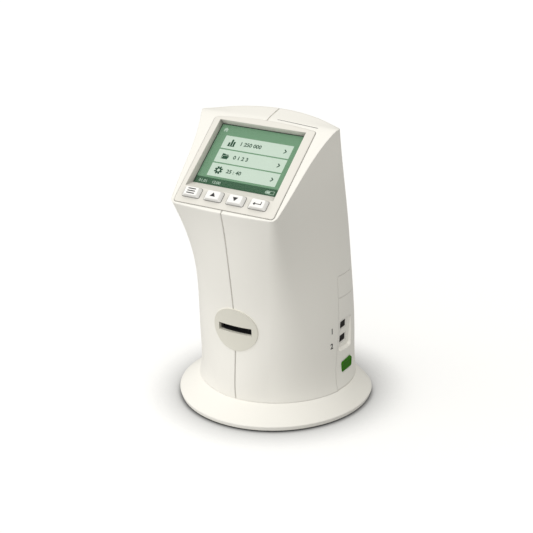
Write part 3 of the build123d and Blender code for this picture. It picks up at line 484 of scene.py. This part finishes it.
def make_key_marks():
    """Three bars, two triangles and a return arrow, printed on the key caps."""
    key_x = [key_mid_x + key_pitch * (i - 1.5) for i in range(4)]
    menu = bmesh.new()
    for row in (-1, 0, 1):
        bar = face_matrix(key_x[0], key_mid_s + row * menu_bar_pitch, key_raise)
        add_card(menu, 7.2, 0.95, mark_raise, bar)
    finish_piece(menu, "menu_mark", ink, "menu_key_body")
    for name, x, sign in (("up", key_x[1], 1), ("down", key_x[2], -1)):
        triangle = bmesh.new()
        points = [(-2.5 * sign, -1.6 * sign), (2.5 * sign, -1.6 * sign), (0, 2.2 * sign)]
        add_outline(triangle, points, mark_raise, face_matrix(x, key_mid_s, key_raise - 0.01))
        finish_piece(triangle, name + "_mark", ink, name + "_key_body")
    enter = bmesh.new()
    add_card(enter, 6.2, 0.75, mark_raise, face_matrix(key_x[3] + 0.4, key_mid_s - 0.7, key_raise))
    add_card(enter, 0.75, 3.0, mark_raise, face_matrix(key_x[3] + 3.15, key_mid_s + 0.4, key_raise))
    add_outline(enter, [(-2.4, -0.7), (-0.4, 0.9), (-0.4, -2.3)], mark_raise,
                face_matrix(key_x[3] - 1.6, key_mid_s, key_raise - 0.01))
    finish_piece(enter, "enter_mark", ink, "enter_key_body")


# Numerals beside the ports and the line on the roof, laid onto the curved case

def surface_of(*names):
    """Lookup tree over some CAD nodes' surfaces."""
    shape = bmesh.new()
    for name in names:
        shape.from_mesh(nodes[name].data)
    tree = BVHTree.FromBMesh(shape)
    shape.free()
    return tree


def lay_on(shape, tree, direction, lift):
    """Moves a flat mark along a direction onto a surface, and lifts it by a hair."""
    for vert in shape.verts:
        hit = tree.ray_cast(vert.co - direction * 0.2, direction)[0]
        if hit is not None:
            vert.co = hit - direction * lift


def make_port_numerals():
    """Plain numerals 1 and 2 in front of the ports."""
    tree = surface_of("right_case_shell", "port_panel")
    inwards = Vector((-1, 0, 0))
    for text, y, z in port_numerals:
        shape = bmesh.new()
        turn = Matrix(((0, 0, 1), (1, 0, 0), (0, 1, 0))).to_4x4()
        lie = Matrix.Translation(Vector((60, y + centring - 1.5, z)) * mm) @ turn @ Matrix.Scale(mm, 4)
        add_words(shape, text, port_numeral_size, lie, thick=0.0, bold=port_numeral_bold)
        bmesh.ops.subdivide_edges(shape, edges=shape.edges, cuts=1)
        lay_on(shape, tree, inwards, case_mark_lift)
        finish_piece(shape, "port_numeral_" + text, case_ink)


def make_roof_line():
    """Thin line across the right half of the roof."""
    tree = surface_of("right_case_shell")
    shape = bmesh.new()
    run = roof_line_end - roof_line_start
    middle = (roof_line_start + roof_line_end) / 2 + Vector((0, centring, 0))
    turn = Matrix.Rotation(math.atan2(run.y, run.x), 4, "Z")
    stretched = Matrix.Diagonal((run.length * mm, roof_line_width * mm, 1, 1))
    bmesh.ops.create_grid(shape, x_segments=40, y_segments=1, size=0.5,
                          matrix=Matrix.Translation(middle * mm) @ turn @ stretched)
    lay_on(shape, tree, Vector((0, 0, -1)), case_mark_lift)
    finish_piece(shape, "roof_line", roof_ink)


make_screen_image()
make_key_marks()
make_port_numerals()
make_roof_line()


# Floor, light and camera

def floor_material():
    """Pale paper. The camera sees near white with a painted contact shadow that deepens close to the
    object, while light that bounces off it sees a mid tone."""
    material, tree, shader = new_material("floor_paper")
    shader.inputs["Base Color"].default_value = (bounce, bounce, bounce, 1)
    shader.inputs["Roughness"].default_value = 0.9
    shader.inputs["Specular IOR Level"].default_value = 0.0
    paper = tree.nodes.new("ShaderNodeBsdfDiffuse")
    glow = tree.nodes.new("ShaderNodeEmission")
    glow.inputs["Strength"].default_value = floor_glow
    # Painted contact shadow: occlusion darkens the floor's paper and glow close to the object
    near = tree.nodes.new("ShaderNodeAmbientOcclusion")
    near.samples = 24
    near.inputs["Distance"].default_value = painted_shadow_reach * mm
    deepen = tree.nodes.new("ShaderNodeMath")
    deepen.operation = "POWER"
    deepen.inputs[1].default_value = painted_shadow_depth
    whiten = tree.nodes.new("ShaderNodeMath")
    whiten.operation = "MULTIPLY"
    whiten.inputs[1].default_value = floor_white
    bright = tree.nodes.new("ShaderNodeAddShader")
    seen = tree.nodes.new("ShaderNodeLightPath")
    blend = tree.nodes.new("ShaderNodeMixShader")
    link(tree, near.outputs["AO"], deepen.inputs[0])
    link(tree, deepen.outputs["Value"], whiten.inputs[0])
    link(tree, whiten.outputs["Value"], paper.inputs["Color"])
    link(tree, deepen.outputs["Value"], glow.inputs["Color"])
    link(tree, paper.outputs["BSDF"], bright.inputs[0])
    link(tree, glow.outputs["Emission"], bright.inputs[1])
    link(tree, seen.outputs["Is Camera Ray"], blend.inputs["Fac"])
    link(tree, shader.outputs["BSDF"], blend.inputs[1])
    link(tree, bright.outputs["Shader"], blend.inputs[2])
    link(tree, blend.outputs["Shader"], tree.nodes["Material Output"].inputs["Surface"])
    return material


def make_floor():
    """Wide pale floor that keeps the object's soft shadow from the lamp, and a painted contact shadow
    near it.
    """
    shape = bmesh.new()
    bmesh.ops.create_grid(shape, x_segments=1, y_segments=1, size=6.0)
    mesh = bpy.data.meshes.new("floor")
    shape.to_mesh(mesh)
    shape.free()
    floor = bpy.data.objects.new("floor", mesh)
    scene.collection.objects.link(floor)
    mesh.materials.append(floor_material())


def make_world():
    """Even light from all round, while the camera sees a plain pale ground beyond the floor."""
    world = bpy.data.worlds.new("studio")
    scene.world = world
    world.use_nodes = True
    tree = world.node_tree
    fill = tree.nodes["Background"]
    fill.inputs["Color"].default_value = (1, 0.99, 0.945, 1)
    fill.inputs["Strength"].default_value = fill_light
    pale = tree.nodes.new("ShaderNodeBackground")
    pale.inputs["Strength"].default_value = 1.0
    seen = tree.nodes.new("ShaderNodeLightPath")
    pick = tree.nodes.new("ShaderNodeMixShader")
    link(tree, seen.outputs["Is Camera Ray"], pick.inputs["Fac"])
    link(tree, fill.outputs["Background"], pick.inputs[1])
    link(tree, pale.outputs["Background"], pick.inputs[2])
    link(tree, pick.outputs["Shader"], tree.nodes["World Output"].inputs["Surface"])


def make_lamp(name, towards, strength, softness, shadow=True):
    """Distant soft lamp that shines from the given direction."""
    lamp = bpy.data.lights.new(name, "SUN")
    lamp.energy = strength
    lamp.angle = math.radians(softness)
    lamp.use_shadow = shadow
    holder = bpy.data.objects.new(name, lamp)
    holder.rotation_mode = "QUATERNION"
    holder.rotation_quaternion = Vector(towards).to_track_quat("Z", "Y")
    scene.collection.objects.link(holder)


def make_camera():
    """Camera at the photograph's viewing angle."""
    moved = Vector((0, centring, 0))
    ahead = (camera_target - camera_place).normalized()
    level = ahead.cross(Vector((0, 0, 1))).normalized()
    rise = level.cross(ahead)
    right = level * math.cos(camera_roll) + rise * math.sin(camera_roll)
    upright = rise * math.cos(camera_roll) - level * math.sin(camera_roll)
    lens = bpy.data.cameras.new("camera")
    lens.sensor_width = 36.0
    lens.lens = lens.sensor_width * focal_pixels / picture_pixels
    lens.clip_start = 0.05
    lens.clip_end = 30.0
    camera = bpy.data.objects.new("camera", lens)
    turn = Matrix((right, upright, -ahead)).transposed().to_4x4()
    camera.matrix_world = Matrix.Translation((camera_place + moved) * mm) @ turn
    scene.collection.objects.link(camera)
    scene.camera = camera


make_floor()
make_world()
make_lamp("key_lamp", key_direction, key_strength, key_softness)
make_lamp("key_fill", key_direction, key_fill_strength, key_fill_softness, shadow=False)
make_camera()
scene.view_settings.view_transform = "Standard"
